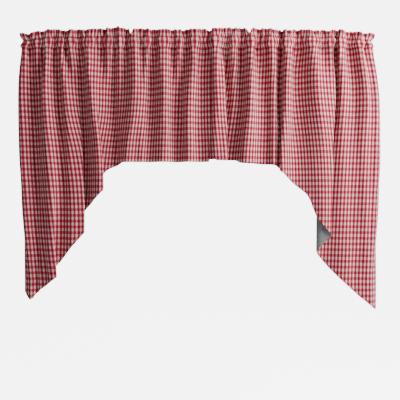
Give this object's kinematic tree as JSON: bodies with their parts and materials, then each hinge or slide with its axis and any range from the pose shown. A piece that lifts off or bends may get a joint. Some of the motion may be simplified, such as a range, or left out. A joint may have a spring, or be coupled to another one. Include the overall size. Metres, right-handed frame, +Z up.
{
  "type": "window valance",
  "caption": "Pair of lined swag valance panels in woven check, gathered on an open rod pocket with a ruffled header, cut to rise from long outer points to a short level centre.",
  "frame": {"origin": "middle of the top edge of the gathered heading, on the line that the curtain rod's front run follows", "axes": "+Z up, +X along the rod to the viewer's right, +Y back towards the wall, in metres"},
  "size_m": [1.2413, 0.0974, 0.9593],
  "materials": {
    "checked_cloth": "matt plain-woven cotton, small red and cream check",
    "lining_cloth": "matt plain-woven cotton, mid grey"
  },
  "bodies": {
    "root": {"left_heading": "checked_cloth", "left_face": "checked_cloth", "left_lining": "lining_cloth", "right_heading": "checked_cloth", "right_face": "checked_cloth", "right_lining": "lining_cloth"}
  },
  "joints": []
}
